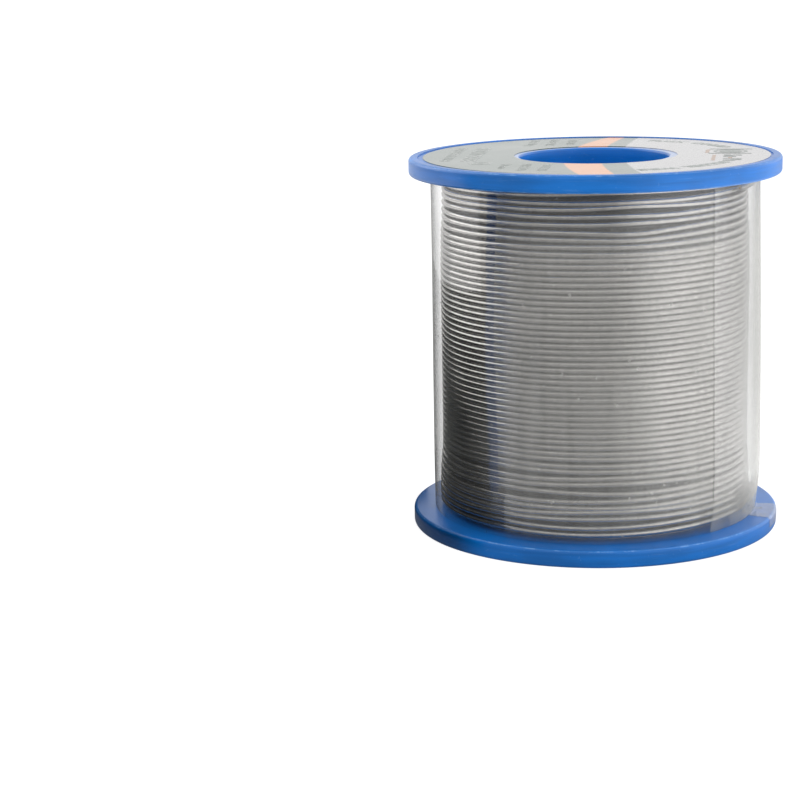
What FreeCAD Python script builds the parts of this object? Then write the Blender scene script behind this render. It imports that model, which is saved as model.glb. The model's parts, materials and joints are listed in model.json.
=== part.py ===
"""Solder wire spool: two moulded flanges on a core tube, wound with flux-cored
solder wire, with a printed label and a clear film wrap.

The spool stands on its bottom flange. Its axis is Z, its origin is the middle of
the face that it rests on, and the label is on top.
"""

import FreeCAD, Part
import Sketcher
import os

SIZES = {
    # Overall sizes of the empty spool
    "flange_diameter": 65.0,
    "overall_height": 65.7,
    # Flange moulding, the same for top and bottom
    "flange_thickness": 3.05,
    "rim_rounding": 0.6,
    "bore_diameter": 26.0,
    "bore_rounding": 0.4,
    "rim_land": 1.6,
    "recess_depth": 0.25,
    "hub_wall": 2.0,
    "hub_height": 4.0,
    "socket_depth": 1.0,
    "start_hole_diameter": 1.6,
    "start_hole_gap": 0.6,
    "gate_diameter": 4.0,
    "gate_depth": 0.4,
    # Core tube
    "tube_wall": 2.0,
    "socket_clearance": 0.05,
    # Winding and wrap: each depth is measured in from the flange's rim
    "winding_depth": 5.6,
    "winding_clearance": 0.05,
    "layer_step": 0.87,
    "wrap_depth": 3.7,
    "wrap_thickness": 0.1,
    # Wire: alloy round a core of flux
    "wire_diameter": 1.0,
    "flux_diameter": 0.4,
    "start_recess": 0.6,
    "end_drop": 1.6,
    "end_arc": 46.0,
    "end_turn": -27.0,
    # Label
    "label_margin": 0.65,
    "label_hole_margin": 1.25,
    "label_thickness": 0.12,
    "label_shift_x": 0.27,
    "label_shift_y": 0.40,
    # Lapped end of the wrap
    "lap_arc": 17.0,
    "lap_turn": -21.0,
    "lap_rise": 6.0,
    "lap_drop": 1.9,
}

FULL_TURN = 360.0
HALF_TURN = 180.0

document = FreeCAD.newDocument("SolderSpool")
sheet = document.addObject("Spreadsheet::Sheet", "Sizes")
for row, (alias, number) in enumerate(SIZES.items(), start=1):
    sheet.set(f"A{row}", alias)
    sheet.set(f"B{row}", str(number))
    sheet.setAlias(f"B{row}", alias)
document.recompute()


class Length:
    """A length with its value in millimetres and the expression that drives it."""

    def __init__(self, value, text):
        self.value = value
        self.text = text

    def joined(self, other, sign):
        value = self.value + other.value if sign == "+" else self.value - other.value
        return Length(value, f"({self.text} {sign} {other.text})")

    def __add__(self, other):
        return self.joined(other, "+")

    def __sub__(self, other):
        return self.joined(other, "-")

    def half(self):
        return Length(self.value / 2, f"({self.text} / 2)")

    def negative(self):
        return Length(-self.value, f"(0 - {self.text})")


def size(alias):
    """The length that one cell of the sheet holds."""
    return Length(float(sheet.get(alias)), f"Sizes.{alias}")


# Radii that pieces share
rim = size("flange_diameter").half()
bore = size("bore_diameter").half()
recess = rim - size("rim_land")
tube = bore + size("tube_wall")
socket = tube + size("socket_clearance")
hub = socket + size("hub_wall")
winding = rim - size("winding_depth")
under = winding - size("layer_step")
buried = under - size("layer_step")
wrap = rim - size("wrap_depth")
start_hole = size("start_hole_diameter").half()
start_radius = hub + size("start_hole_gap") + start_hole
wire = size("wire_diameter").half()
flux = size("flux_diameter").half()

# Heights that pieces share
floor = size("flange_thickness")
ceiling = size("overall_height") - floor
seat = floor - size("socket_depth")
hub_top = floor + size("hub_height")
gap = size("winding_clearance")

pieces = []


def new_body(name):
    body = document.addObject("PartDesign::Body", name)
    body.Label = name
    body.Placement = FreeCAD.Placement()
    pieces.append(body)
    return body


def new_sketch(body, name, role):
    """A sketch on one of the body's own origin planes."""
    sketch = body.newObject("Sketcher::SketchObject", name)
    plane = next(item for item in body.Origin.OriginFeatures if item.Role == role)
    sketch.AttachmentSupport = (plane, "")
    sketch.MapMode = "FlatFace"
    return sketch


def drive(sketch, constraint, name, length):
    """Adds a dimension to a sketch, names it and binds it to the sheet."""
    index = sketch.addConstraint(constraint)
    sketch.renameConstraint(index, name)
    sketch.setExpression(f"Constraints.{name}", length.text)


def draw_outline(sketch, corners):
    """A closed outline through corners given as radius and height, each one dimensioned."""
    origin = (-1, 1)
    places = [FreeCAD.Vector(r.value, z.value if z else 0.0, 0) for r, z in corners]
    for index, place in enumerate(places):
        after = places[(index + 1) % len(places)]
        sketch.addGeometry(Part.LineSegment(place, after), False)
    for index, (radius, height) in enumerate(corners):
        before = (index - 1) % len(corners)
        sketch.addConstraint(Sketcher.Constraint("Coincident", before, 2, index, 1))
        across = Sketcher.Constraint("DistanceX", *origin, index, 1, radius.value)
        drive(sketch, across, f"radius_{index}", radius)
        if height:
            up = Sketcher.Constraint("DistanceY", *origin, index, 1, height.value)
            drive(sketch, up, f"height_{index}", height)
        else:
            sketch.addConstraint(Sketcher.Constraint("PointOnObject", index, 1, -1))


def draw_circle(sketch, name, radius, across=None, up=None):
    """A circle whose middle is on the sketch's origin, or at a distance across and up from it."""
    middle = FreeCAD.Vector(across.value if across else 0.0, up.value if up else 0.0, 0)
    normal = FreeCAD.Vector(0, 0, 1)
    index = sketch.addGeometry(Part.Circle(middle, normal, radius.value), False)
    drive(sketch, Sketcher.Constraint("Radius", index, radius.value), f"{name}_radius", radius)
    if across:
        distance = Sketcher.Constraint("DistanceX", -1, 1, index, 3, across.value)
        drive(sketch, distance, f"{name}_across", across)
    else:
        sketch.addConstraint(Sketcher.Constraint("PointOnObject", index, 3, -2))
    if up:
        distance = Sketcher.Constraint("DistanceY", -1, 1, index, 3, up.value)
        drive(sketch, distance, f"{name}_up", up)
    else:
        sketch.addConstraint(Sketcher.Constraint("PointOnObject", index, 3, -1))


def revolve(body, name, sketch, arc=None):
    """Turns a sketch about the spool's axis, all the way or through an arc of the sheet."""
    feature = body.newObject("PartDesign::Revolution", name)
    feature.Profile = sketch
    feature.ReferenceAxis = (sketch, ["V_Axis"])
    feature.Angle = FULL_TURN
    if arc:
        feature.setExpression("Angle", f"Sizes.{arc}")
    body.Tip = feature
    return feature


def pad(body, name, sketch, length):
    feature = body.newObject("PartDesign::Pad", name)
    feature.Profile = sketch
    feature.Length = length.value
    feature.setExpression("Length", length.text)
    body.Tip = feature
    return feature


def pocket(body, name, sketch, depth=None):
    """Cuts upwards from the outer face, to a depth or right through."""
    before = body.Shape.Volume
    feature = body.newObject("PartDesign::Pocket", name)
    feature.Profile = sketch
    feature.Reversed = True
    if depth:
        feature.Type = "Length"
        feature.Length = depth.value
        feature.setExpression("Length", depth.text)
    else:
        feature.Type = "ThroughAll"
    body.Tip = feature
    document.recompute()
    if body.Shape.Volume >= before:
        raise RuntimeError(f"{body.Label}: {name} cut nothing")
    return feature


def round_circles(body, name, base, circles, radius):
    """Rounds the circular edges that have one of the given radii and heights."""
    feature = body.newObject("PartDesign::Fillet", name)
    edges = [
        f"Edge{index}"
        for index, edge in enumerate(base.Shape.Edges, start=1)
        if isinstance(edge.Curve, Part.Circle)
        and any(
            abs(edge.Curve.Radius - r.value) < 1e-4 and abs(edge.Curve.Center.z - z) < 1e-4
            for r, z in circles
        )
    ]
    if len(edges) != len(circles):
        raise RuntimeError(f"{body.Label}: {name} found {len(edges)} of {len(circles)} edges")
    feature.Base = (base, edges)
    feature.Radius = radius.value
    feature.setExpression("Radius", radius.text)
    body.Tip = feature
    document.recompute()
    return feature


def raise_body(body, height):
    body.setExpression("Placement.Base.z", height.text)


def turn_body(body, alias):
    """Turns a body about the spool's axis by an angle of the sheet."""
    body.Placement = FreeCAD.Placement(
        FreeCAD.Vector(0, 0, 0), FreeCAD.Rotation(FreeCAD.Vector(0, 0, 1), size(alias).value)
    )


def make_flange(name):
    """The moulding, with its outer face down: a disc with a label recess, a hub collar with a
    socket for the core tube, a hole for the start of the wire and the dimple of its gate."""
    body = new_body(name)
    profile = new_sketch(body, f"{name}_profile", "XZ_Plane")
    shelf = size("recess_depth")
    draw_outline(
        profile,
        [
            (bore, shelf),
            (recess, shelf),
            (recess, None),
            (rim, None),
            (rim, floor),
            (hub, floor),
            (hub, hub_top),
            (socket, hub_top),
            (socket, seat),
            (bore, seat),
        ],
    )
    disc = revolve(body, f"{name}_disc", profile)
    document.recompute()
    rims = [(rim, 0.0), (rim, floor.value)]
    rounded = round_circles(body, f"{name}_rim", disc, rims, size("rim_rounding"))
    mouth = [(bore, shelf.value)]
    round_circles(body, f"{name}_mouth", rounded, mouth, size("bore_rounding"))
    hole = new_sketch(body, f"{name}_hole_place", "XY_Plane")
    draw_circle(hole, "hole", start_hole, across=start_radius)
    pocket(body, f"{name}_start_hole", hole)
    gate = new_sketch(body, f"{name}_gate_place", "XY_Plane")
    draw_circle(gate, "gate", size("gate_diameter").half(), up=start_radius)
    pocket(body, f"{name}_gate", gate, size("recess_depth") + size("gate_depth"))
    return body


def make_core_tube():
    """Stands in the sockets of both hubs and has the same bore."""
    body = new_body("core_tube")
    section = new_sketch(body, "tube_section", "XY_Plane")
    draw_circle(section, "inside", bore)
    draw_circle(section, "outside", tube)
    pad(body, "tube_length", section, size("overall_height") - seat - seat)
    raise_body(body, seat)


def make_layer(name, inner, outer):
    """One wound layer, from flange to flange."""
    body = new_body(name)
    profile = new_sketch(body, f"{name}_profile", "XZ_Plane")
    low, high = floor + gap, ceiling - gap
    draw_outline(profile, [(inner, low), (outer, low), (outer, high), (inner, high)])
    revolve(body, f"{name}_ring", profile)


def make_inner_winding():
    """The buried layers: they fill the space round the tube and step out round both hubs."""
    body = new_body("wire_inner_winding")
    profile = new_sketch(body, "winding_profile", "XZ_Plane")
    low, high = floor + gap, ceiling - gap
    step_low = hub_top + gap
    step_high = size("overall_height") - hub_top - gap
    draw_outline(
        profile,
        [
            (hub + gap, low),
            (buried, low),
            (buried, high),
            (hub + gap, high),
            (hub + gap, step_high),
            (tube + gap, step_high),
            (tube + gap, step_low),
            (hub + gap, step_low),
        ],
    )
    revolve(body, "winding_ring", profile)


def make_start_tail():
    """The start of the wire, straight down through the hole in the bottom flange, and its flux."""
    length = floor + gap - size("start_recess")
    alloy = new_body("wire_start_tail")
    section = new_sketch(alloy, "tail_section", "XY_Plane")
    draw_circle(section, "outside", wire, across=start_radius)
    draw_circle(section, "inside", flux, across=start_radius)
    pad(alloy, "tail_length", section, length)
    core = new_body("wire_start_flux")
    section = new_sketch(core, "flux_section", "XY_Plane")
    draw_circle(section, "outside", flux, across=start_radius)
    pad(core, "flux_length", section, length)
    for body in (alloy, core):
        raise_body(body, size("start_recess"))


def make_wire_end():
    """The free end of the wire, an arc lying on the outer layer, and its flux."""
    across = winding + gap + wire
    up = ceiling - size("end_drop")
    alloy = new_body("wire_end")
    section = new_sketch(alloy, "end_section", "XZ_Plane")
    draw_circle(section, "outside", wire, across=across, up=up)
    draw_circle(section, "inside", flux, across=across, up=up)
    revolve(alloy, "end_arc", section, arc="end_arc")
    core = new_body("wire_end_flux")
    section = new_sketch(core, "end_flux_section", "XZ_Plane")
    draw_circle(section, "outside", flux, across=across, up=up)
    revolve(core, "end_flux_arc", section, arc="end_arc")
    for body in (alloy, core):
        turn_body(body, "end_turn")


def make_label():
    """A paper ring stuck in the recess of the top flange, a little off centre."""
    body = new_body("face_label")
    ring = new_sketch(body, "label_ring", "XY_Plane")
    draw_circle(ring, "outside", recess - size("label_margin"))
    draw_circle(ring, "inside", bore + size("label_hole_margin"))
    pad(body, "label_sheet", ring, size("label_thickness"))
    body.setExpression("Placement.Base.x", size("label_shift_x").text)
    body.setExpression("Placement.Base.y", size("label_shift_y").text)
    raise_body(body, size("overall_height") - size("recess_depth"))


def make_wrap():
    """The film sleeve between the flanges, standing off the wire."""
    body = new_body("clear_wrap")
    section = new_sketch(body, "wrap_section", "XY_Plane")
    draw_circle(section, "inside", wrap - size("wrap_thickness"))
    draw_circle(section, "outside", wrap)
    pad(body, "wrap_height", section, ceiling - floor)
    raise_body(body, floor)


def make_wrap_tail():
    """The film's end, which runs down the sleeve, out over the bottom flange and round its rim."""
    body = new_body("wrap_tail")
    profile = new_sketch(body, "lap_profile", "XZ_Plane")
    film = size("wrap_thickness")
    top, end = floor + size("lap_rise"), floor - size("lap_drop")
    draw_outline(
        profile,
        [
            (wrap, floor),
            (wrap, top),
            (wrap + film, top),
            (wrap + film, floor + film),
            (rim + film, floor + film),
            (rim + film, end),
            (rim, end),
            (rim, floor),
        ],
    )
    revolve(body, "lap", profile, arc="lap_arc")
    turn_body(body, "lap_turn")


make_flange("bottom_flange")
top_flange = make_flange("top_flange")
top_flange.Placement = FreeCAD.Placement(
    FreeCAD.Vector(0, 0, 0), FreeCAD.Rotation(FreeCAD.Vector(1, 0, 0), HALF_TURN)
)
raise_body(top_flange, size("overall_height"))
make_core_tube()
make_inner_winding()
make_layer("wire_under_layer", buried, under)
make_layer("wire_outer_layer", under, winding)
make_start_tail()
make_wire_end()
make_label()
make_wrap()
make_wrap_tail()
document.recompute()

for item in document.Objects:
    if "Invalid" in item.State or "Error" in item.State:
        raise RuntimeError(f"{item.Label} did not recompute: {item.State}")
for piece in pieces:
    if piece.Shape.isNull() or not piece.Shape.isValid():
        raise RuntimeError(f"{piece.Label} has no valid shape")

os.makedirs("parts", exist_ok=True)
for piece in pieces:
    piece.Shape.exportStep(f"parts/{piece.Label}.step")
    box = piece.Shape.BoundBox
    print(
        f"{piece.Label:20s} {piece.Shape.Volume:10.1f} mm3  "
        f"x {box.XMin:7.2f} {box.XMax:7.2f}  y {box.YMin:7.2f} {box.YMax:7.2f}  "
        f"z {box.ZMin:7.2f} {box.ZMax:7.2f}"
    )
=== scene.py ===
"""Solder wire spool, modelled and finished round its CAD frame as an add-on."""

import json
import math
import random

import bpy
from mathutils import Matrix, Vector


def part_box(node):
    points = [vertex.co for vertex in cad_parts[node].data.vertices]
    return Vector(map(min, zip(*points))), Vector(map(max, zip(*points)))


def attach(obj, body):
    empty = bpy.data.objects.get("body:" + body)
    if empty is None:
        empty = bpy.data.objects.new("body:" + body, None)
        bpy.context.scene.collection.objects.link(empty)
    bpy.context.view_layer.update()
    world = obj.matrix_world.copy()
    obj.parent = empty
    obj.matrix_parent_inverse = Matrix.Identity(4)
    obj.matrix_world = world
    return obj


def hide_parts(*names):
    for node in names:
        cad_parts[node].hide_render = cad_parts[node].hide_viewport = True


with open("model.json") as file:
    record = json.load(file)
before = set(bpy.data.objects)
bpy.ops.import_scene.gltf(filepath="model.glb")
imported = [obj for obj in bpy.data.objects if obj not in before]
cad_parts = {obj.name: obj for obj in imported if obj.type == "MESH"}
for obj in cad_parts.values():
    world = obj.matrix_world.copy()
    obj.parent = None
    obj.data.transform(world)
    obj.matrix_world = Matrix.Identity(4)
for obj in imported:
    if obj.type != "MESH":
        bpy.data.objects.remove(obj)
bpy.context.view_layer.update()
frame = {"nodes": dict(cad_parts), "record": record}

bl_info = {
    "name": "Solder Wire Spool",
    "version": (1, 0, 0),
    "blender": (4, 5, 0),
    "location": "3D View > Sidebar > Solder Spool",
    "description": "Models and finishes a spool of flux-cored solder wire round its CAD frame",
    "category": "Object",
}

MM = 0.001
BODY = "root"

# Places and sizes read from the frame
WRAP_LOW, WRAP_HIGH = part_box("clear_wrap")
FLOOR = WRAP_LOW.z
CEILING = WRAP_HIGH.z
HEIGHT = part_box("top_flange")[1].z
HUB_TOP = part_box("bottom_flange")[1].z
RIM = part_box("bottom_flange")[1].x
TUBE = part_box("core_tube")[1].x
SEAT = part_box("core_tube")[0].z
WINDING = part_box("wire_outer_layer")[1].x
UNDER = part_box("wire_under_layer")[1].x
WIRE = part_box("wire_end")[1].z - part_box("wire_end")[0].z
LABEL_LOW, LABEL_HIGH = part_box("face_label")
TAIL_LOW, TAIL_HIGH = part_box("wire_start_tail")
BORE = next(m["dims"]["r_mm"] for m in frame["record"]["mounts"] if m["name"] == "bore") * MM


class SpoolSizes(bpy.types.PropertyGroup):
    """Sizes of the pieces that are modelled here, in metres."""

    rim_rounding: bpy.props.FloatProperty(
        name="Rim rounding", description="Radius of the flanges' outer edges",
        default=0.6 * MM, unit="LENGTH")
    mouth_rounding: bpy.props.FloatProperty(
        name="Mouth rounding", description="Radius of the bore's outer edge",
        default=0.4 * MM, unit="LENGTH")
    rim_land: bpy.props.FloatProperty(
        name="Rim land", description="Width of the raised ring round the label",
        default=1.6 * MM, unit="LENGTH")
    recess_depth: bpy.props.FloatProperty(
        name="Recess depth", description="Depth of the label recess",
        default=0.25 * MM, unit="LENGTH")
    hub_wall: bpy.props.FloatProperty(
        name="Hub wall", description="Wall of the collar round the core tube",
        default=2.0 * MM, unit="LENGTH")
    socket_gap: bpy.props.FloatProperty(
        name="Socket gap", description="Clearance of the core tube in its socket",
        default=0.05 * MM, unit="LENGTH")
    gate_width: bpy.props.FloatProperty(
        name="Gate width", description="Diameter of the dimple left by the mould's gate",
        default=4.0 * MM, unit="LENGTH")
    gate_depth: bpy.props.FloatProperty(
        name="Gate depth", description="Depth of that dimple below the recess",
        default=0.4 * MM, unit="LENGTH")
    start_hole: bpy.props.FloatProperty(
        name="Start hole", description="Diameter of the hole for the start of the wire",
        default=1.6 * MM, unit="LENGTH")
    pitch: bpy.props.FloatProperty(
        name="Pitch", description="Distance from turn to turn where the winding is tight",
        default=1.018 * MM, unit="LENGTH")
    film: bpy.props.FloatProperty(
        name="Film", description="Thickness of the clear film",
        default=0.04 * MM, unit="LENGTH")


class SpoolColours(bpy.types.PropertyGroup):
    """Colours of the finishes, linear."""

    plastic: bpy.props.FloatVectorProperty(
        name="Plastic", description="Moulded flanges and core tube",
        default=(0.001, 0.190, 0.680), subtype="COLOR")
    alloy: bpy.props.FloatVectorProperty(
        name="Alloy", description="Drawn solder wire",
        default=(0.500, 0.487, 0.465), subtype="COLOR")
    flux: bpy.props.FloatVectorProperty(
        name="Flux", description="Rosin core at the cut ends",
        default=(0.48, 0.26, 0.05), subtype="COLOR")
    paper: bpy.props.FloatVectorProperty(
        name="Paper", description="Silver-grey ground of the label",
        default=(0.44, 0.43, 0.44), subtype="COLOR")
    green: bpy.props.FloatVectorProperty(
        name="Green", description="Dark field and dark print of the label",
        default=(0.012, 0.060, 0.036), subtype="COLOR")
    orange: bpy.props.FloatVectorProperty(
        name="Orange", description="Curved band of the label",
        default=(0.80, 0.26, 0.022), subtype="COLOR")
    pale_ink: bpy.props.FloatVectorProperty(
        name="Pale ink", description="Print on the dark field",
        default=(0.55, 0.59, 0.56), subtype="COLOR")
    film: bpy.props.FloatVectorProperty(
        name="Film", description="Faint haze of the clear film",
        default=(0.60, 0.60, 0.575), subtype="COLOR")
    floor: bpy.props.FloatVectorProperty(
        name="Floor", description="Studio floor",
        default=(0.86, 0.86, 0.86), subtype="COLOR")


def sizes():
    return bpy.context.scene.spool_sizes


def colours():
    return bpy.context.scene.spool_colours


# ---------------------------------------------------------------- materials


def darker(colour, share):
    """A share of a colour's light."""
    return tuple(share * part for part in colour)


class Term:
    """A shader socket that can be added, multiplied and so on in plain expressions."""

    def __init__(self, paint, socket):
        self.paint = paint
        self.socket = socket

    def math(self, operation, *values):
        settings = {"operation": operation}
        return self.paint.node("ShaderNodeMath", settings, dict(enumerate((self, *values))))

    def __add__(self, other):
        return self.math("ADD", other)

    def __sub__(self, other):
        return self.math("SUBTRACT", other)

    def __rsub__(self, other):
        return self.paint.node(
            "ShaderNodeMath", {"operation": "SUBTRACT"}, {0: other, 1: self})

    def __mul__(self, other):
        return self.math("MULTIPLY", other)

    def __truediv__(self, other):
        return self.math("DIVIDE", other)

    def __pow__(self, other):
        return self.math("POWER", other)

    __radd__ = __add__
    __rmul__ = __mul__

    def above(self, other):
        return self.math("GREATER_THAN", other)

    def below(self, other):
        return self.math("LESS_THAN", other)

    def size(self):
        return self.math("ABSOLUTE")

    def larger(self, other):
        return self.math("MAXIMUM", other)

    def ramp(self, start, end, low=0.0, high=1.0):
        """Goes smoothly from low at start to high at end."""
        settings = {"interpolation_type": "SMOOTHSTEP"}
        sockets = {"Value": self, "From Min": start, "From Max": end, "To Min": low,
                   "To Max": high}
        return self.paint.node("ShaderNodeMapRange", settings, sockets)


class Paint:
    """One material and the nodes that make it."""

    def __init__(self, name, tree=None):
        if tree is None:
            self.material = bpy.data.materials.new(name)
            self.material.use_nodes = True
            tree = self.material.node_tree
        self.tree = tree
        self.tree.nodes.clear()
        self.place = self.node("ShaderNodeTexCoord", {}, {}, "Object")

    def node(self, kind, settings, sockets, output=0):
        """Adds a node: its settings first, then the values or links of its sockets."""
        made = self.tree.nodes.new(kind)
        for key, value in settings.items():
            setattr(made, key, value)
        for key, value in sockets.items():
            if isinstance(value, Term):
                self.tree.links.new(value.socket, made.inputs[key])
            else:
                made.inputs[key].default_value = value
        return None if output is None else Term(self, made.outputs[output])

    def axes(self, place=None):
        """The three coordinates of a place, in metres."""
        made = self.tree.nodes.new("ShaderNodeSeparateXYZ")
        self.tree.links.new((place or self.place).socket, made.inputs[0])
        return [Term(self, made.outputs[index]) for index in range(3)]

    def stretched(self, scale):
        """The object's coordinates, scaled along each axis."""
        return self.node("ShaderNodeMapping", {}, {"Vector": self.place, "Scale": scale})

    def glance(self):
        """How far the surface is turned away: 0 where it faces the eye and 1 at its outline."""
        return self.node("ShaderNodeLayerWeight", {}, {"Blend": 0.5}, "Facing")

    def noise(self, scale, detail, roughness=0.5, place=None):
        sockets = {"Vector": place or self.place, "Scale": scale, "Detail": detail,
                   "Roughness": roughness}
        return self.node("ShaderNodeTexNoise", {}, sockets)

    def mix(self, factor, first, second):
        """Blends two colours."""
        sockets = {"Factor": factor, "A": first, "B": second}
        made = self.tree.nodes.new("ShaderNodeMix")
        made.data_type = "RGBA"
        made.clamp_factor = True
        places = {"Factor": 0, "A": 6, "B": 7}
        for key, value in sockets.items():
            if isinstance(value, Term):
                self.tree.links.new(value.socket, made.inputs[places[key]])
            elif key == "Factor":
                made.inputs[0].default_value = value
            else:
                made.inputs[places[key]].default_value = (*value, 1.0)
        return Term(self, made.outputs[2])

    def bump(self, height, distance, strength):
        sockets = {"Height": height, "Distance": distance, "Strength": strength}
        return self.node("ShaderNodeBump", {}, sockets)

    def surface(self, shader):
        self.node("ShaderNodeOutputMaterial", {}, {"Surface": shader}, None)
        return self.material

    def plastic(self, **sockets):
        """A Principled shader, its sockets named with underscores for spaces."""
        named = {key.replace("_", " "): value for key, value in sockets.items()}
        for key, value in named.items():
            if isinstance(value, tuple) and len(value) == 3 and "Color" in key:
                named[key] = (*value, 1.0)
        return self.node("ShaderNodeBsdfPrincipled", {}, named)


# Pale blue of worn nicks, and of a painted highlight along the rim edges
WORN_AND_HIGHLIGHT_BLUE = (0.30, 0.58, 0.95)


def blue_plastic():
    """Glossy injection-moulded plastic: faint flow bands, fine grain, and pale nicks on the
    flanges' edges, on a thin pale line round every rim edge that is a painted highlight."""
    paint = Paint("blue_moulded_plastic")
    base = tuple(colours().plastic)
    x, y, z = paint.axes()
    radius = (x * x + y * y) ** 0.5
    cloudy = paint.noise(70, 3)
    flow = paint.noise(1, 3, 0.6, paint.stretched((60, 60, 900)))
    tone = paint.mix((cloudy * 0.5 + flow * 0.5).ramp(0.35, 0.65), darker(base, 0.72), base)
    heights = (0.0, FLOOR, CEILING, HEIGHT)
    near = [(z - height).size().ramp(0.32 * MM, 0.10 * MM) for height in heights]
    corner = near[0].larger(near[1]).larger(near[2].larger(near[3]))
    corner = corner * radius.ramp(RIM - 0.42 * MM, RIM - 0.22 * MM)
    # The nicks are wear; the floor of 0.22 lays a continuous pale line round each rim edge, a
    # painted highlight
    worn_and_highlight = paint.noise(520, 4, 0.65).ramp(0.50, 0.66, 0.22, 1.0) * corner
    specks = paint.noise(1500, 2).ramp(0.68, 0.74)
    scuffs = paint.noise(1, 4, 0.6, paint.stretched((160, 160, 2600))).ramp(0.60, 0.72)
    wear_and_highlight = worn_and_highlight * 0.55 + specks * 0.08 + scuffs * 0.08
    tone = paint.mix(wear_and_highlight, tone, WORN_AND_HIGHLIGHT_BLUE)
    mouth = radius.ramp(BORE + 0.15 * MM, BORE + 0.35 * MM) * radius.below(BORE + 2 * MM)
    mouth = mouth * z.above(HEIGHT - 0.5 * MM)
    grain = paint.noise(2600, 2)
    dents = paint.noise(260, 2).ramp(0.30, 0.46)
    height = grain * 0.25 + dents * 0.5 * corner - worn_and_highlight * 0.9 + cloudy * 0.4
    rough = 0.27 + cloudy * 0.10 + worn_and_highlight * 0.25 + scuffs * 0.15
    shader = paint.plastic(
        Base_Color=tone, Roughness=rough, IOR=1.42, Coat_Weight=mouth * 0.88 + 0.12,
        Coat_Roughness=0.15,
        Normal=paint.bump(height, 0.05 * MM, 0.35))
    return paint.surface(shader)


def solder_alloy(name, share):
    """Drawn tin-lead wire: bright, with long die lines and dull patches of oxide. A share below 1
    darkens the whole finish as painted shade.
    """
    paint = Paint(name)
    base = darker(colours().alloy, share)
    patches = paint.noise(90, 4, 0.6)
    lines = paint.noise(1, 3, 0.6, paint.stretched((120, 120, 9000)))
    mottle = paint.noise(1400, 3)
    dull = (patches * 0.55 + mottle * 0.45).ramp(0.36, 0.62)
    tone = paint.mix(dull, darker(base, 0.80), base)
    rough = 0.13 + patches.ramp(0.40, 0.70, 0.0, 0.08) + lines * 0.05
    shader = paint.plastic(
        Base_Color=tone, Metallic=1.0, Roughness=rough,
        Normal=paint.bump(lines * 0.6 + mottle * 0.4, 0.02 * MM, 0.35))
    return paint.surface(shader)


def flux_rosin():
    """Hard amber rosin, glassy with small bubbles."""
    paint = Paint("rosin_flux")
    base = tuple(colours().flux)
    bubbles = paint.noise(5200, 3)
    tone = paint.mix(bubbles.ramp(0.35, 0.65), darker(base, 0.6), base)
    shader = paint.plastic(
        Base_Color=tone, Roughness=bubbles * 0.2 + 0.2,
        Normal=paint.bump(bubbles, 0.02 * MM, 0.5))
    return paint.surface(shader)


# Where the outer end of the film lies, as an angle from +X
SEAM = math.radians(-46.3)

# The label's own axes: its reading direction is turned from +X by this angle
LABEL_TURN = math.radians(-95.0)
LABEL_MIDDLE = (LABEL_LOW + LABEL_HIGH) / 2


def printed_label():
    """Silver-grey label stock under gloss laminate, with three smile-shaped bands."""
    paint = Paint("printed_label_stock")
    centred = paint.node(
        "ShaderNodeMapping", {"vector_type": "POINT"},
        {"Vector": paint.place, "Location": tuple(-part for part in LABEL_MIDDLE)})
    turned = paint.node(
        "ShaderNodeMapping", {"vector_type": "POINT"},
        {"Vector": centred, "Rotation": (0, 0, -LABEL_TURN)})
    across, up, _ = paint.axes(turned)
    u = across / (10 * MM)
    v = up / (10 * MM)

    def over(height, slope, bend):
        """1 above a parabola given in units of 10 mm."""
        edge = height + u * slope + u * u * bend
        return (v - edge).ramp(-0.008, 0.008)

    ground = over(0.468, 0.080, 0.036)
    band_top = over(0.083, 0.047, 0.038)
    band_foot = over(-0.531, 0.003, 0.056)
    tone = paint.mix(ground, tuple(colours().green), tuple(colours().paper))
    tone = paint.mix(band_foot * (1 - band_top), tone, tuple(colours().orange))
    fibre = paint.noise(1700, 3, 0.6)
    wide = paint.noise(110, 3)
    speck = fibre.ramp(0.38, 0.62, 0.90, 1.04) * wide.ramp(0.3, 0.7, 0.96, 1.03)
    grey = paint.node("ShaderNodeCombineXYZ", {}, {0: speck, 1: speck, 2: speck})
    tone = paint.node("ShaderNodeVectorMath", {"operation": "MULTIPLY"}, {0: tone, 1: grey})
    rough = 0.20 + wide * 0.10
    shader = paint.plastic(
        Base_Color=tone, Roughness=rough, IOR=1.52, Coat_Weight=0.5, Coat_Roughness=0.10,
        Normal=paint.bump(fibre * 0.5 + wide * 0.5, 0.02 * MM, 0.12))
    return paint.surface(shader)


INK_GLOSS = (0.52, 0.54, 0.53, 1.0)


def ink(name, tone):
    """Printing ink with the stock's fibre showing through, under a gloss that grows at a
    glance."""
    paint = Paint(name)
    fibre = paint.noise(1700, 3, 0.6)
    pale = tuple(min(1.0, part * 1.12 + 0.004) for part in tone)
    shade = paint.mix(fibre.ramp(0.35, 0.65), tuple(tone), pale)
    normal = paint.bump(fibre, 0.02 * MM, 0.25)
    shader = paint.plastic(
        Base_Color=shade, IOR=1.52, Roughness=fibre * 0.1 + 0.2, Coat_Weight=0.5,
        Coat_Roughness=0.10, Normal=normal)
    gloss = paint.node(
        "ShaderNodeBsdfGlossy", {}, {"Color": INK_GLOSS, "Roughness": 0.35, "Normal": normal})
    amount = paint.glance().ramp(0.58, 0.82, 0.0, 0.65)
    return paint.surface(paint.node("ShaderNodeMixShader", {}, {0: amount, 1: shader, 2: gloss}))


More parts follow.
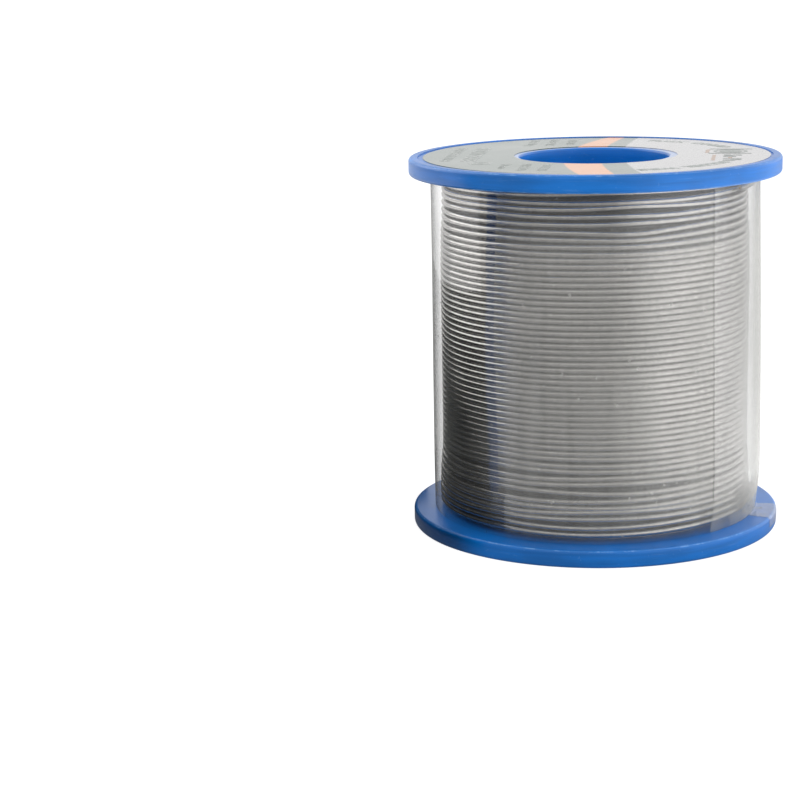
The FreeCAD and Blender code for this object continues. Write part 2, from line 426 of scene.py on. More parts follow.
def clear_film(name, haze, edge):
    """Thin clear film: it mirrors at a glance, and has a faint haze, streaks and dust, and a
    whitened cut edge at the seam. Its haze also carries painted shade on the left and painted
    light on the right."""
    paint = Paint(name)
    x, y, z = paint.axes()
    glance = paint.glance()
    ripple = paint.noise(1, 3, 0.55, paint.stretched((170, 170, 38)))
    crease = paint.noise(1, 4, 0.6, paint.stretched((320, 320, 90)))
    streaks = paint.noise(1, 3, 0.6, paint.stretched((520, 520, 14)))
    normal = paint.bump(ripple * 0.8 + crease * 0.2, 0.25 * MM, 0.30)
    mirror = paint.node(
        "ShaderNodeBsdfGlossy", {}, {"Color": (1, 1, 1, 1), "Roughness": 0.08, "Normal": normal})
    clear = paint.node("ShaderNodeBsdfTransparent", {}, {"Color": (1, 1, 1, 1)})
    bright_milk, painted_shade_milk = (
        paint.node("ShaderNodeBsdfDiffuse", {}, {"Color": (*darker(colours().film, share), 1.0)})
        for share in (1.0, 0.55))
    # Painted shade: the haze is grey on the left side and bright from the middle rightwards
    painted_light_share = x.ramp(-21 * MM, -11 * MM)
    milk = paint.node("ShaderNodeMixShader", {}, {0: painted_light_share, 1: painted_shade_milk, 2: bright_milk})
    off_seam = y * math.cos(SEAM) - x * math.sin(SEAM)
    seam_side = (x * math.cos(SEAM) + y * math.sin(SEAM)).above(0.0)
    cut = off_seam.size().ramp(0.16 * MM, 0.05 * MM) * seam_side
    past = off_seam.above(0.0)
    dust = paint.noise(900, 1).ramp(0.745, 0.765)
    cloud = paint.noise(60, 3).ramp(0.35, 0.7, 0.8, 1.3) * streaks.ramp(0.3, 0.7, 0.8, 1.2)
    side = x.ramp(-22 * MM, -12 * MM) * y.below(6 * MM)
    gather = z.ramp(FLOOR + 6 * MM, FLOOR + 0.5 * MM) * crease.ramp(0.3, 0.7, 0.3, 1.0)
    ends = z.ramp(FLOOR, FLOOR + 7 * MM, 0.25, 1.0)
    ends = ends * z.ramp(CEILING - 2 * MM, CEILING - 12 * MM, 0.2, 1.0)
    # Painted light: the veil is several times thicker on the right side, less so past the seam
    veil = cloud * haze * ends * (1.3 + side * (2.9 - past * 2.1)) + dust * 0.25
    veil = veil + glance ** 7 * edge
    veil = veil + cut * 0.09 + gather * side * past * 0.15
    reflect = glance ** 5 * x.ramp(-10 * MM, 10 * MM, 0.18, 0.34) + 0.042
    body = paint.node(
        "ShaderNodeMixShader", {}, {0: veil.math("MINIMUM", 0.92), 1: clear, 2: milk})
    return paint.surface(paint.node("ShaderNodeMixShader", {}, {0: reflect, 1: body, 2: mirror}))


def bounce_floor():
    """The floor as the spool reflects it, glowing with painted light: painted shade in front and
    painted light away to both sides.
    """
    paint = Paint("studio_floor_bounce")
    x, y, _ = paint.axes()
    far = (x * x + y * y) ** 0.5
    right = (x / far).ramp(0.12, 0.85, 0.0, 1.2) * y.ramp(-0.02, 0.14, 1.0, 0.45)
    left = x.ramp(-0.05, -0.16, 0.0, 1.0) * y.ramp(-0.07, 0.0) * y.ramp(0.05, 0.25, 1.0, 0.4)
    # Painted light: the floor glows in pools to the right and left, and is dark near the spool
    glow = right * far.ramp(0.03, 0.06) + left * far.ramp(0.05, 0.14) + 0.14
    tone = paint.mix(paint.noise(6, 2), (0.28, 0.28, 0.28), (0.30, 0.30, 0.30))
    light = paint.node("ShaderNodeCombineXYZ", {}, {0: glow, 1: glow, 2: glow})
    return paint.surface(paint.plastic(
        Base_Color=tone, Roughness=0.9, Emission_Color=light, Emission_Strength=1.0))


def studio_floor():
    """Plain pale floor with a trace of tone in it. Most of its light is its own, which keeps
    it pale under the spool."""
    paint = Paint("studio_floor")
    base = darker(colours().floor, 0.3)
    tone = paint.mix(paint.noise(6, 2), darker(base, 0.985), base)
    return paint.surface(paint.plastic(
        Base_Color=tone, Roughness=0.9, Specular_IOR_Level=0.1,
        Emission_Color=(1.0, 1.0, 1.0), Emission_Strength=0.96))


FINISHES = {
    "plastic": blue_plastic,
    "alloy": lambda: solder_alloy("drawn_solder_alloy", 1.0),
    # The wire beneath wears the alloy at a tenth of its light: painted shade for the gaps between
    # turns
    "painted_shade_alloy": lambda: solder_alloy("drawn_solder_alloy_painted_shade", 0.10),
    "flux": flux_rosin,
    "label": printed_label,
    "dark_ink": lambda: ink("dark_green_ink", colours().green),
    "pale_ink": lambda: ink("pale_ink", colours().pale_ink),
    "orange_ink": lambda: ink("orange_ink", colours().orange),
    "film": lambda: clear_film("clear_film", 0.036, 0.85),
    "lap": lambda: clear_film("clear_film_lap", 0.008, 0.04),
    "floor": studio_floor,
    "bounce": bounce_floor,
}
made_finishes = {}


def finish(name):
    """A finish by name, made the first time that it is asked for."""
    if name not in made_finishes:
        made_finishes[name] = FINISHES[name]()
    return made_finishes[name]


def wear(thing, name):
    """Gives an object one finish."""
    thing.data.materials.clear()
    thing.data.materials.append(finish(name))


# ---------------------------------------------------------------- mesh helpers


def clear_selection():
    if bpy.context.object and bpy.context.object.mode != "OBJECT":
        bpy.ops.object.mode_set(mode="OBJECT")
    bpy.ops.object.select_all(action="DESELECT")


def pick(thing):
    """Makes an object the only one selected, and active."""
    clear_selection()
    thing.select_set(True)
    bpy.context.view_layer.objects.active = thing


def edit(thing, kind):
    """Readies an object for edit mode with nothing selected."""
    pick(thing)
    bpy.ops.object.mode_set(mode="EDIT")
    bpy.ops.mesh.select_mode(type=kind)
    bpy.ops.mesh.select_all(action="DESELECT")
    bpy.ops.object.mode_set(mode="OBJECT")


def choose(thing, kind, test):
    """Selects the faces or edges whose middle passes a test, and stays in edit mode."""
    edit(thing, kind)
    mesh = thing.data
    items = mesh.polygons if kind == "FACE" else mesh.edges
    for item in items:
        if kind == "FACE":
            middle = item.center
        else:
            ends = [mesh.vertices[index].co for index in item.vertices]
            middle = (ends[0] + ends[1]) / 2
        item.select = bool(test(middle, item))
    bpy.ops.object.mode_set(mode="EDIT")


def settle(thing):
    """Leaves edit mode and puts the object's place into its mesh."""
    bpy.ops.object.mode_set(mode="OBJECT")
    pick(thing)
    bpy.ops.object.transform_apply(location=True, rotation=True, scale=True)


def smooth(thing, degrees=35.0):
    pick(thing)
    bpy.ops.object.shade_smooth_by_angle(angle=math.radians(degrees))


def apply(thing, kind, name, **settings):
    """Adds a modifier with its settings and applies it."""
    pick(thing)
    modifier = thing.modifiers.new(name, kind)
    for key, value in settings.items():
        setattr(modifier, key, value)
    bpy.ops.object.modifier_apply(modifier=modifier.name)


def place_piece(thing, name, slot, *nodes):
    """Names a finished piece, puts it on the spool's body and hides the frame's parts that it
    stands for.
    """
    thing.name = name
    thing.data.name = name
    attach(thing, BODY)
    if nodes:
        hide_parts(*nodes)


def distance_from_axis(point):
    return math.hypot(point.x, point.y)


def on_circle(radius, height):
    """A test for edges that lie on a circle about the spool's axis."""
    slack = 0.02 * MM

    def test(middle, _):
        return (abs(distance_from_axis(middle) - radius) < slack + radius * 0.0006
                and abs(middle.z - height) < slack)
    return test


# ---------------------------------------------------------------- flanges

FLANGE_SIDES = 240
RECESS_ROUNDING, HUB_ROUNDING = 0.10 * MM, 0.3 * MM


def cap(height, radius):
    """A test for the flat face about the axis at one height."""
    def test(middle, face):
        return (abs(middle.z - height) < 0.01 * MM and distance_from_axis(middle) < radius
                and abs(face.normal.z) > 0.9)
    return test


def round_edge(thing, radius, height, width, segments):
    """Rounds the circular edge at a radius and height."""
    choose(thing, "EDGE", on_circle(radius, height))
    bpy.ops.mesh.bevel(offset=width, segments=segments, affect="EDGES", profile=0.5)
    bpy.ops.object.mode_set(mode="OBJECT")


def drill(thing, radius, depth, place):
    """Cuts a round hole upwards from below the outer face."""
    clear_selection()
    bpy.ops.mesh.primitive_cylinder_add(
        vertices=48, radius=radius, depth=depth * 2, location=place)
    cutter = bpy.context.object
    apply(thing, "BOOLEAN", "hole", operation="DIFFERENCE", object=cutter, solver="EXACT")
    bpy.data.objects.remove(cutter)


def model_flange():
    """A disc with a recess, a hub collar and a socket, turned up from one cylinder."""
    s = sizes()
    socket = TUBE + s.socket_gap
    hub = socket + s.hub_wall
    recess = RIM - s.rim_land
    clear_selection()
    bpy.ops.mesh.primitive_cylinder_add(
        vertices=FLANGE_SIDES, radius=RIM, depth=FLOOR, location=(0, 0, FLOOR / 2))
    disc = bpy.context.object
    settle(disc)
    choose(disc, "FACE", cap(FLOOR, MM))
    bpy.ops.mesh.inset(thickness=RIM - hub)
    bpy.ops.mesh.extrude_region_move(TRANSFORM_OT_translate={"value": (0, 0, HUB_TOP - FLOOR)})
    bpy.ops.mesh.inset(thickness=hub - socket)
    bpy.ops.mesh.extrude_region_move(TRANSFORM_OT_translate={"value": (0, 0, SEAT - HUB_TOP)})
    bpy.ops.mesh.inset(thickness=socket - BORE)
    bpy.ops.mesh.delete(type="FACE")
    choose(disc, "FACE", cap(0, MM))
    bpy.ops.mesh.inset(thickness=s.rim_land)
    bpy.ops.mesh.extrude_region_move(TRANSFORM_OT_translate={"value": (0, 0, s.recess_depth)})
    bpy.ops.mesh.inset(thickness=recess - BORE)
    bpy.ops.mesh.delete(type="FACE")
    choose(disc, "EDGE", lambda middle, _: distance_from_axis(middle) < BORE + 0.05 * MM)
    bpy.ops.mesh.bridge_edge_loops()
    bpy.ops.object.mode_set(mode="OBJECT")
    round_edge(disc, RIM, 0, s.rim_rounding, 6)
    round_edge(disc, RIM, FLOOR, s.rim_rounding, 6)
    round_edge(disc, recess, 0, RECESS_ROUNDING, 2)
    round_edge(disc, BORE, s.recess_depth, s.mouth_rounding, 4)
    round_edge(disc, hub, HUB_TOP, HUB_ROUNDING, 2)
    start = (TAIL_LOW + TAIL_HIGH) / 2
    drill(disc, s.start_hole / 2, FLOOR + MM, (start.x, start.y, 0))
    drill(disc, s.gate_width / 2, s.recess_depth + s.gate_depth, (0, start.x, 0))
    smooth(disc)
    wear(disc, "plastic")
    return disc


class SPOOL_OT_flanges(bpy.types.Operator):
    """Model the bottom flange, and copy it turned over for the top one"""

    bl_idname = "spool.flanges"
    bl_label = "Flanges"

    def execute(self, context):
        bottom = model_flange()
        top = bottom.copy()
        top.data = bottom.data.copy()
        context.scene.collection.objects.link(top)
        over = Matrix.Translation((0, 0, HEIGHT)) @ Matrix.Rotation(math.pi, 4, "X")
        top.data.transform(over)
        place_piece(bottom, "bottom_flange_moulding", "blue_plastic", "bottom_flange")
        place_piece(top, "top_flange_moulding", "blue_plastic", "top_flange")
        return {"FINISHED"}


class SPOOL_OT_core(bpy.types.Operator):
    """Finish the core tube, the buried winding and the cut ends of the wire"""

    bl_idname = "spool.core"
    bl_label = "Core"

    def execute(self, context):
        for node, name in (
            ("core_tube", "plastic"),
            ("wire_inner_winding", "alloy"),
            ("wire_start_tail", "alloy"),
            ("wire_start_flux", "flux"),
            ("wire_end", "alloy"),
            ("wire_end_flux", "flux"),
        ):
            wear(frame["nodes"][node], name)
        return {"FINISHED"}


# ---------------------------------------------------------------- winding

POINTS_PER_TURN = 24
LOOSE_STRAY, TIGHT_STRAY = 0.13, 0.025
# A quadratic NURBS runs between its points and the chords' middles, so its mean radius is less
RADIUS_GAIN = 2 / (1 + math.cos(math.pi / POINTS_PER_TURN))


def lobe(angle, middle, width):
    """A smooth bump round the spool, 1 at its middle angle, with angles in degrees."""
    away = (angle - middle + 180) % 360 - 180
    return math.exp(-((away / width) ** 2))


def tight_turn_heights(count, low, high, loose_low, loose_high):
    """Heights at which the turns begin: tight in the middle and looser at both ends."""
    rng = random.Random(7)
    steps = []
    for index in range(count):
        step = 1.0
        if index < loose_low:
            step = 1.0 + rng.uniform(0.06, 0.34)
        elif index >= count - loose_high:
            step = 1.0 + rng.uniform(0.04, 0.30)
        else:
            step += rng.uniform(-0.02, 0.02)
        steps.append(step)
    scale = (high - low) / sum(steps)
    heights = [low]
    for step in steps:
        heights.append(heights[-1] + step * scale)
    return heights


# Gaps that open between two turns: height in the frame, angle, width in degrees, and how far
# the neighbours stand apart in wire diameters, less than nothing where they run together
PARTINGS = (
    (55.9, 285, 13, 1.20),
    (57.4, 279, 13, 0.80),
    (59.1, 288, 14, 0.80),
    (61.2, 280, 30, 0.90),
    (12.0, 283, 26, 0.95),
    (9.0, 279, 20, -0.55),
    (6.6, 268, 22, 0.60),
    (14.2, 233, 26, 0.65),
    (10.6, 240, 30, 0.70),
    (7.4, 232, 24, -0.45),
    (16.4, 258, 34, 0.40),
    (54.3, 238, 26, 0.30),
    (57.0, 224, 22, 0.35),
    (10.0, 95, 40, 0.80),
    (13.5, 140, 36, 0.70),
    (7.0, 30, 30, 0.60),
    (56.0, 100, 36, 0.80),
    (59.0, 45, 30, 0.70),
)
LOOSE_LOW, LOOSE_HIGH = 10, 8


def belly(height):
    """How far the winding bulges at a height: it is fuller in the middle and slumps at the
    bottom."""
    def rise(start, end):
        share = min(max((height - start) / (end - start), 0.0), 1.0)
        return share * share * (3 - 2 * share)
    return 0.40 * MM * rise(60 * MM, 47 * MM) + 0.50 * MM * rise(18 * MM, 5 * MM)


def turn_at(heights, height):
    """The turn, whole and part, at which an even climb reaches a height."""
    for whole in range(len(heights) - 1):
        if height < heights[whole + 1]:
            return whole + (height - heights[whole]) / (heights[whole + 1] - heights[whole])
    return len(heights) - 1


def settled_partings(heights):
    """The gaps by turn, each put so that the wire climbs past it on the far side."""
    found = []
    for height, angle, width, apart in PARTINGS:
        opposite = ((angle + 180) % 360) / 360
        middle = round(turn_at(heights, height * MM) - opposite) + opposite
        found.append((middle, angle, width, apart))
    return found


def parting_shift(partings, turn, angle):
    """How far a turn is pushed along the axis at an angle by the gaps near it."""
    shift = 0.0
    for middle, place, width, apart in partings:
        away = turn - middle
        push = math.copysign(math.exp(-abs(away) / 1.6), away)
        shift += 0.5 * apart * push * lobe(angle, place, width)
    return shift


def wind(name, radius, low, high, count, loose, seed):
    """One layer of wire as a single curve that climbs from flange to flange."""
    rng = random.Random(seed)
    heights = tight_turn_heights(count, low, high, *loose)
    partings = settled_partings(heights) if any(loose) else []
    phases = [(rng.uniform(0, 2 * math.pi), rng.uniform(0, 2 * math.pi)) for _ in range(count + 1)]
    swell = [rng.uniform(-1, 1) for _ in range(count + 1)]
    slack = []
    for index in range(count + 1):
        ends = index < loose[0] or index >= count - loose[1]
        slack.append(LOOSE_STRAY if ends and any(loose) else TIGHT_STRAY)

    def stray(index, turned):
        first, second = phases[index]
        return slack[index] * (math.sin(turned + first) + 0.6 * math.sin(3 * turned + second))

    points = []
    for step in range(count * POINTS_PER_TURN + 1):
        turn = step / POINTS_PER_TURN
        whole = min(int(turn), count - 1)
        part = turn - whole
        turned = 2 * math.pi * turn
        z = heights[whole] * (1 - part) + heights[whole + 1] * part
        z += WIRE * (stray(whole, turned) * (1 - part) + stray(whole + 1, turned) * part)
        z += WIRE * parting_shift(partings, turn, math.degrees(turned) % 360)
        z = min(max(z, low), high)
        out = swell[whole] * slack[whole] * (1 - part) + swell[whole + 1] * slack[whole + 1] * part
        reach = (radius + 0.6 * WIRE * out + (belly(z) if any(loose) else 0.0)) * RADIUS_GAIN
        points.append((reach * math.cos(turned), reach * math.sin(turned), z))
    return wire_curve(name, points)


def wire_curve(name, points):
    """A NURBS wire through control points, made a mesh."""
    curve = bpy.data.curves.new(name, "CURVE")
    curve.dimensions = "3D"
    curve.bevel_depth = WIRE / 2
    curve.bevel_resolution = 3
    curve.use_fill_caps = True
    spline = curve.splines.new("NURBS")
    spline.points.add(len(points) - 1)
    for point, place in zip(spline.points, points):
        point.co = (*place, 1.0)
    spline.order_u = 3
    spline.use_endpoint_u = True
    spline.resolution_u = 3
    thing = bpy.data.objects.new(name, curve)
    bpy.context.scene.collection.objects.link(thing)
    pick(thing)
    bpy.ops.object.convert(target="MESH")
    thing = bpy.context.object
    for face in thing.data.polygons:
        face.use_smooth = True
    return thing


class SPOOL_OT_winding(bpy.types.Operator):
    """Wind the two outer layers of wire, loose and crossed at both flanges"""

    bl_idname = "spool.winding"
    bl_label = "Winding"

    def execute(self, context):
        low, high = FLOOR + 0.56 * WIRE, CEILING - 0.56 * WIRE
        turns = int((high - low) / sizes().pitch) - 3
        loose = (LOOSE_LOW, LOOSE_HIGH)
        outer = wind("outer_turns", WINDING - WIRE / 2, low, high, turns, loose, 11)
        wear(outer, "alloy")
        place_piece(outer, "outer_turns", "solder_alloy", "wire_outer_layer")
        inner = wind("under_turns", UNDER - WIRE / 2, low, high, turns + 2, (0, 0), 23)
        # The under layer is painted dark, as painted shade in the gaps between the outer turns
        wear(inner, "painted_shade_alloy")
        place_piece(inner, "under_turns", "solder_alloy", "wire_under_layer")
        return {"FINISHED"}


# ---------------------------------------------------------------- label


def label_place(across, up, lift):
    """A place on the label, in the label's own axes, as a place on the spool."""
    turn = Matrix.Rotation(LABEL_TURN, 3, "Z")
    place = turn @ Vector((across, up, 0))
    return Vector((LABEL_MIDDLE.x + place.x, LABEL_MIDDLE.y + place.y, LABEL_HIGH.z + lift))


PRINT_LIFT = 0.012 * MM
PRINT_THICKNESS = 0.010 * MM
ARC_RADIUS, ARC_SIZE = 25.4 * MM, 2.8 * MM
LETTER_WEIGHT, KEYLINE_WEIGHT = 0.09 * MM, 0.22 * MM


def text_mesh(words, size, weight):
    """A line of text as a thin mesh about its own middle, lying flat."""
    curve = bpy.data.curves.new("words", "FONT")
    curve.body = words
    curve.size = size
    curve.offset = weight
    curve.align_x = "CENTER"
    curve.align_y = "CENTER"
    curve.extrude = PRINT_THICKNESS / 2
    curve.resolution_u = 4
    thing = bpy.data.objects.new("words", curve)
    bpy.context.scene.collection.objects.link(thing)
    pick(thing)
    bpy.ops.object.convert(target="MESH")
    return bpy.context.object


def lay(thing, across, up, turn=0.0, lift=PRINT_LIFT):
    """Lays a flat mesh on the label, turned by an angle from its reading direction."""
    place = Matrix.Translation(label_place(across, up, lift))
    thing.data.transform(place @ Matrix.Rotation(LABEL_TURN + turn, 4, "Z"))
    return thing


def width_of(thing):
    across = [corner.co.x for corner in thing.data.vertices]
    return max(across) - min(across)


def arc_words(words, start, end):
    """Evenly spaced letters along an arc about the label's middle, each with a pale keyline,
    from one angle clockwise to another. Gives the letters and their keylines."""
    word_gap = 0.45 * ARC_SIZE
    letters = [
        None if letter == " " else text_mesh(letter, ARC_SIZE, LETTER_WEIGHT) for letter in words]
    widths = [width_of(letter) if letter else word_gap for letter in letters]
    spare = (ARC_RADIUS * math.radians(start - end) - sum(widths)) / (len(words) - 1)
    travelled = 0.0
    keylines = []
    for index, letter in enumerate(letters):
        angle = math.radians(start) - (travelled + widths[index] / 2) / ARC_RADIUS
        travelled += widths[index] + spare
        if letter:
            across, up = ARC_RADIUS * math.cos(angle), ARC_RADIUS * math.sin(angle)
            lay(letter, across, up, angle - math.pi / 2)
            keyline = text_mesh(words[index], ARC_SIZE, KEYLINE_WEIGHT)
            keylines.append(lay(keyline, across, up, angle - math.pi / 2, PRINT_LIFT / 2))
    return [letter for letter in letters if letter], keylines


def bar(width, height):
    """A thin flat bar about its own middle."""
    clear_selection()
    bpy.ops.mesh.primitive_cube_add(size=1)
    thing = bpy.context.object
    thing.scale = (width, height, PRINT_THICKNESS)
    settle(thing)
    return thing


def ring(outer, inner):
    """A thin flat ring about its own middle."""
    clear_selection()
    bpy.ops.mesh.primitive_cylinder_add(vertices=64, radius=outer, depth=PRINT_THICKNESS)
    thing = bpy.context.object
    choose(thing, "FACE", lambda middle, face: abs(face.normal.z) > 0.9)
    bpy.ops.mesh.inset(thickness=outer - inner)
    bpy.ops.mesh.bridge_edge_loops()
    bpy.ops.object.mode_set(mode="OBJECT")
    return thing


def joined(things, name, finish_name):
    """Several meshes made one piece with one finish."""
    clear_selection()
    for thing in things:
        thing.select_set(True)
    bpy.context.view_layer.objects.active = things[0]
    bpy.ops.object.join()
    made = bpy.context.object
    wear(made, finish_name)
    place_piece(made, name, "printed_paper")
    return made


class SPOOL_OT_label(bpy.types.Operator):
    """Finish the label and print generic words and a plain coil sign on it"""

    bl_idname = "spool.label"
    bl_label = "Label"

    def execute(self, context):
        wear(frame["nodes"]["face_label"], "label")
        dark, keyline = arc_words("FLUX CORED", 162, 118)
        more_dark, more_keyline = arc_words("SOLDER WIRE", 64, 21)
        dark += more_dark
        keyline += more_keyline
        for radius in (3.0, 2.0, 1.0):
            dark.append(lay(ring(radius * MM, (radius - 0.5) * MM), -5.6 * MM, 23.2 * MM))
        for across in (-9.2, -2.0):
            dark.append(lay(bar(0.9 * MM, 7.4 * MM), across * MM, 23.2 * MM))
        dark.append(lay(text_mesh("Sn", 4.3 * MM, 0.12 * MM), 1.9 * MM, 23.6 * MM))
        dark.append(lay(text_mesh("Pb", 4.3 * MM, 0.12 * MM), 7.9 * MM, 23.6 * MM))
        orange = [lay(bar(1.2 * MM, 0.7 * MM), 4.9 * MM, 23.4 * MM)]
        orange.append(lay(bar(5.2 * MM, 0.7 * MM), -5.6 * MM, 19.2 * MM))
        orange.append(lay(bar(8.6 * MM, 0.6 * MM), 4.9 * MM, 20.6 * MM))
        pale = []
        rows = (
            ("TIN 60%", -21.6, -6.4), ("LEAD 40%", -20.8, -9.9), ("NET 500 g", -19.6, -13.4),
            ("FLUX 2%", 20.4, -6.8), ("WIRE DIA", 19.6, -10.3), ("1.0 mm", 18.4, -13.8),
        )
        for words, across, up in rows:
            pale.append(lay(text_mesh(words, 2.35 * MM, 0.03 * MM), across * MM, up * MM))
        pale.append(lay(text_mesh("ROSIN CORE", 3.6 * MM, 0.10 * MM), 0, -21.2 * MM))
        pale.append(lay(text_mesh("FOR ELECTRONICS", 2.5 * MM, 0.07 * MM), 0, -25.2 * MM))
        pale.append(lay(ring(1.9 * MM, 1.5 * MM), 14.2 * MM, -18.4 * MM))
        pale.append(lay(ring(0.9 * MM, 0.5 * MM), 14.2 * MM, -18.4 * MM))
        joined(keyline, "label_keyline", "pale_ink")
        joined(dark, "label_dark_print", "dark_ink")
        joined(orange, "label_orange_print", "orange_ink")
        joined(pale, "label_pale_print", "pale_ink")
        return {"FINISHED"}


# ---------------------------------------------------------------- clear wrap

OVERLAP = math.radians(96)
LAP_START, LAP_END = math.radians(-20.0), math.radians(-3.0)


def sheet_grid(name, columns, rows, place):
    """A grid of faces whose corners a function places from two shares, 0 to 1."""
    clear_selection()
    bpy.ops.mesh.primitive_grid_add(x_subdivisions=columns, y_subdivisions=rows, size=1)
    thing = bpy.context.object
    for corner in thing.data.vertices:
        corner.co = place(corner.co.x + 0.5, corner.co.y + 0.5)
    thing.name = name
    return thing


def sleeve_place(along, up):
    """The film from its outer end at the seam, once round and on under itself."""
    around = along * (2 * math.pi + OVERLAP)
    angle = SEAM + around
    inset = 0.16 * MM * min(around / (2 * math.pi), 1.15)
    tall = FLOOR + 0.06 * MM + up * (CEILING - FLOOR - 0.12 * MM)
    ripple = 0.045 * math.sin(5 * angle + 3 * up) + 0.035 * math.sin(11 * angle - 7 * up)
    flare = (1 - up) * (0.50 + 0.42 * math.cos(angle)) * math.sin(math.pi * min(1, up * 6) / 2)
    radius = WRAP_HIGH.x - inset + (ripple + flare) * MM
    return (radius * math.cos(angle), radius * math.sin(angle), tall)


def lap_path(share):
    """Down the sleeve, out over the flange and round its rim, as radius and height."""
    s = sizes()
    film = 0.05 * MM
    wrap = WRAP_HIGH.x + film
    turn = s.rim_rounding
    top = 6.0 * MM
    curl, round_curl = 0.4 * MM, 0.8 * MM
    legs = (
        (top - curl, lambda t: (wrap, FLOOR + top - t)),
        (round_curl, lambda t: (
            wrap + curl * (1 - math.cos(t / round_curl * math.pi / 2)),
            FLOOR + film + curl * (1 - math.sin(t / round_curl * math.pi / 2)))),
        (RIM - turn - wrap - curl, lambda t: (wrap + curl + t, FLOOR + film)),
        (turn * math.pi / 2, lambda t: (
            RIM - turn + (turn + film) * math.sin(t / turn),
            FLOOR - turn + (turn + film) * math.cos(t / turn))),
        (1.2 * MM, lambda t: (RIM + film, FLOOR - turn - t)),
    )
    left = share * sum(length for length, _ in legs)
    for length, where in legs[:-1]:
        if left <= length:
            return where(left)
        left -= length
    return legs[-1][1](min(left, legs[-1][0]))


def lap_place(along, down):
    """The film's end: one edge is cut with teeth and the other runs aslant up the sleeve."""
    radius, height = lap_path(down)
    teeth = math.radians(0.55) * (abs((down * 17) % 1.0 - 0.5) * 2 - 0.5) * (1 - along)
    slant = math.radians(9.0) * max(0.0, 0.55 - down) * (1 - along)
    angle = LAP_START + teeth - slant + along * (LAP_END - LAP_START)
    return (radius * math.cos(angle), radius * math.sin(angle), height)


class SPOOL_OT_wrap(bpy.types.Operator):
    """Wrap clear film round the wire and lap its end over the bottom rim"""

    bl_idname = "spool.wrap"
    bl_label = "Clear wrap"

    def execute(self, context):
        s = sizes()
        sleeve = sheet_grid("film_sleeve", 420, 24, sleeve_place)
        lap = sheet_grid("film_lap", 24, 136, lap_place)
        for thing, name, node in (
            (sleeve, "film", "clear_wrap"), (lap, "lap", "wrap_tail")
        ):
            apply(thing, "SOLIDIFY", "film", thickness=s.film, offset=-1.0)
            smooth(thing, 50.0)
            wear(thing, name)
            place_piece(thing, thing.name, "clear_film", node)
        return {"FINISHED"}


# ---------------------------------------------------------------- stage


def look(thing, place, target):
    thing.location = place
    thing.rotation_euler = (Vector(target) - Vector(place)).to_track_quat("-Z", "Y").to_euler()


def softbox(name, place, target, width, height, power):
    """A soft rectangular light that the camera doesn't see."""
    light = bpy.data.lights.new(name, "AREA")
    light.shape = "RECTANGLE"
    light.size = width
    light.size_y = height
    light.energy = power
    thing = bpy.data.objects.new(name, light)
    bpy.context.scene.collection.objects.link(thing)
    look(thing, place, target)
    thing.visible_camera = False
    return thing


def low_wall(name, radius, start, end, high, tone):
    """A dark curved card that stands close round part of the lower flange, in degrees."""
    clear_selection()
    bpy.ops.mesh.primitive_cylinder_add(
        vertices=72, radius=radius, depth=high, end_fill_type="NOTHING",
        location=(0, 0, 0.2 * MM + high / 2))
    card = bpy.context.object
    card.name = name

    def outside(middle, _):
        return not start < math.degrees(math.atan2(middle.y, middle.x)) % 360 < end

    choose(card, "FACE", outside)
    bpy.ops.mesh.delete(type="FACE")
    bpy.ops.object.mode_set(mode="OBJECT")
    matt = Paint(name)
    card.data.materials.append(matt.surface(matt.plastic(Base_Color=tone, Roughness=0.9)))
    card.visible_camera = False


def flag(name, x, near, far, high, tone):
    """A dark studio card beside the spool that only reflections see."""
    clear_selection()
    bpy.ops.mesh.primitive_plane_add(size=1, rotation=(0, math.pi / 2, 0))
    thing = bpy.context.object
    thing.name = name
    thing.location = (x, (near + far) / 2, high / 2)
    thing.scale = (high, far - near, 1)
    paint = Paint(name)
    shade = paint.node("ShaderNodeEmission", {}, {"Color": (*tone, 1.0), "Strength": 1.0})
    thing.data.materials.append(paint.surface(shade))
    thing.visible_camera = False
    thing.visible_shadow = False


def ground(name, low):
    """A wide floor plane at a height."""
    clear_selection()
    bpy.ops.mesh.primitive_plane_add(size=40, location=(0, 0, low))
    thing = bpy.context.object
    thing.name = name
    return thing


def studio_world():
    """A white room whose light falls off towards the front and left."""
    world = bpy.data.worlds.new("studio")
    world.use_nodes = True
    paint = Paint("studio", world.node_tree)
    way = paint.node("ShaderNodeTexCoord", {}, {}, "Generated")
    x, y, z = paint.axes(way)
    light = 0.68 + x.ramp(0.12, 1.0, 0.0, 0.86) + y.ramp(0.0, 0.9, 0.0, 0.30)
    light = light - z.ramp(0.3, 0.9, 0.0, 0.20)
    seen = paint.node("ShaderNodeLightPath", {}, {}, "Is Camera Ray")
    strength = light.math("MINIMUM", 2.3) * (1 - seen) + seen
    glow = paint.node("ShaderNodeBackground", {}, {"Color": (1, 1, 1, 1), "Strength": strength})
    paint.node("ShaderNodeOutputWorld", {}, {"Surface": glow}, None)
    return world


# The camera's aim: distance and height angle of its place, and how it is panned, tilted and
# rolled away from the spool's middle
CAMERA_DISTANCE = 384.2 * MM
CAMERA_RISE = math.radians(10.913)
CAMERA_PAN = math.radians(-5.287)
CAMERA_TILT = math.radians(-1.579)
CAMERA_ROLL = math.radians(-1.129)
CAMERA_LENS = 96.64


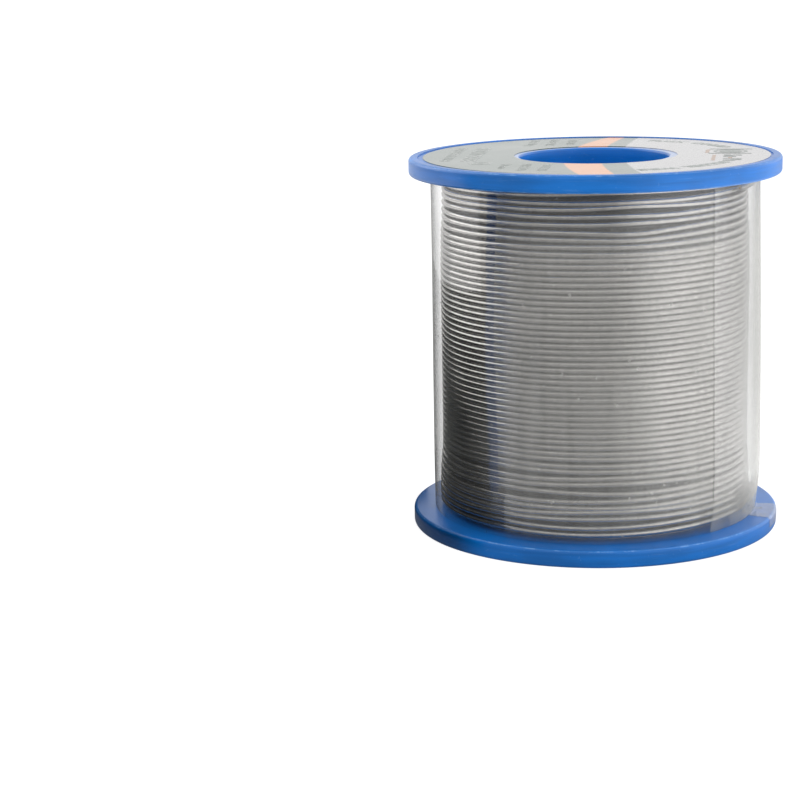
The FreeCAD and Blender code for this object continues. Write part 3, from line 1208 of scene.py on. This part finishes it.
class SPOOL_OT_stage(bpy.types.Operator):
    """Set the floor, the soft lights and the camera"""

    bl_idname = "spool.stage"
    bl_label = "Stage"

    def execute(self, context):
        scene = context.scene
        shown = ground("studio_floor", 0)
        wear(shown, "floor")
        shown.visible_glossy = False
        shown.visible_diffuse = False
        shown.visible_transmission = False
        shown.visible_shadow = False
        under = ground("studio_floor_bounce", -0.05 * MM)
        wear(under, "bounce")
        under.visible_camera = False
        middle = Vector((0, 0, HEIGHT / 2))
        softbox("key_softbox", (0.35, 0.05, 0.65), middle, 0.3, 0.3, 0.5)
        softbox("left_softbox", (-0.62, 0.26, 0.48), middle, 0.8, 0.7, 3.0)
        softbox("front_softbox", (0.0, -0.26, 0.20), (0, 0, 0.05), 0.5, 0.08, 0.12)
        flag("dark_flag", -45 * MM, -27.5 * MM, 45 * MM, 41 * MM, (0.006, 0.009, 0.008))
        low_wall("low_flag", 37 * MM, 150, 232, 8 * MM, (0.004, 0.008, 0.014))
        flag("blue_flag", -45 * MM, -33.0 * MM, -27.5 * MM, 66 * MM, (0.020, 0.11, 0.38))
        scene.world = studio_world()
        scene.view_settings.view_transform = "Standard"
        camera = bpy.data.objects.new("camera", bpy.data.cameras.new("camera"))
        scene.collection.objects.link(camera)
        camera.data.sensor_width = 36.0
        camera.data.lens = CAMERA_LENS
        camera.data.clip_start = 0.01
        out = Vector((0, -math.cos(CAMERA_RISE), math.sin(CAMERA_RISE)))
        camera.location = middle + out * CAMERA_DISTANCE
        drop = -CAMERA_RISE + CAMERA_TILT
        aim = Matrix.Rotation(-CAMERA_PAN, 4, "Z") @ Matrix.Rotation(drop + math.pi / 2, 4, "X")
        camera.rotation_euler = (aim @ Matrix.Rotation(CAMERA_ROLL, 4, "Z")).to_euler()
        scene.camera = camera
        return {"FINISHED"}


class SPOOL_PT_panel(bpy.types.Panel):
    """Sidebar panel that lists the spool's pieces"""

    bl_idname = "SPOOL_PT_panel"
    bl_label = "Solder Spool"
    bl_space_type = "VIEW_3D"
    bl_region_type = "UI"
    bl_category = "Solder Spool"

    def draw(self, context):
        for operator in OPERATORS:
            self.layout.operator(operator.bl_idname)
        for group in (context.scene.spool_sizes, context.scene.spool_colours):
            box = self.layout.box()
            for name in group.__annotations__:
                box.prop(group, name)


OPERATORS = (
    SPOOL_OT_flanges,
    SPOOL_OT_core,
    SPOOL_OT_winding,
    SPOOL_OT_label,
    SPOOL_OT_wrap,
    SPOOL_OT_stage,
)
CLASSES = (SpoolSizes, SpoolColours, *OPERATORS, SPOOL_PT_panel)


def register():
    for item in CLASSES:
        bpy.utils.register_class(item)
    bpy.types.Scene.spool_sizes = bpy.props.PointerProperty(type=SpoolSizes)
    bpy.types.Scene.spool_colours = bpy.props.PointerProperty(type=SpoolColours)


def unregister():
    del bpy.types.Scene.spool_colours
    del bpy.types.Scene.spool_sizes
    for item in reversed(CLASSES):
        bpy.utils.unregister_class(item)


def main():
    register()
    for operator in OPERATORS:
        group, name = operator.bl_idname.split(".")
        getattr(getattr(bpy.ops, group), name)()


if __name__ == "__main__":
    main()
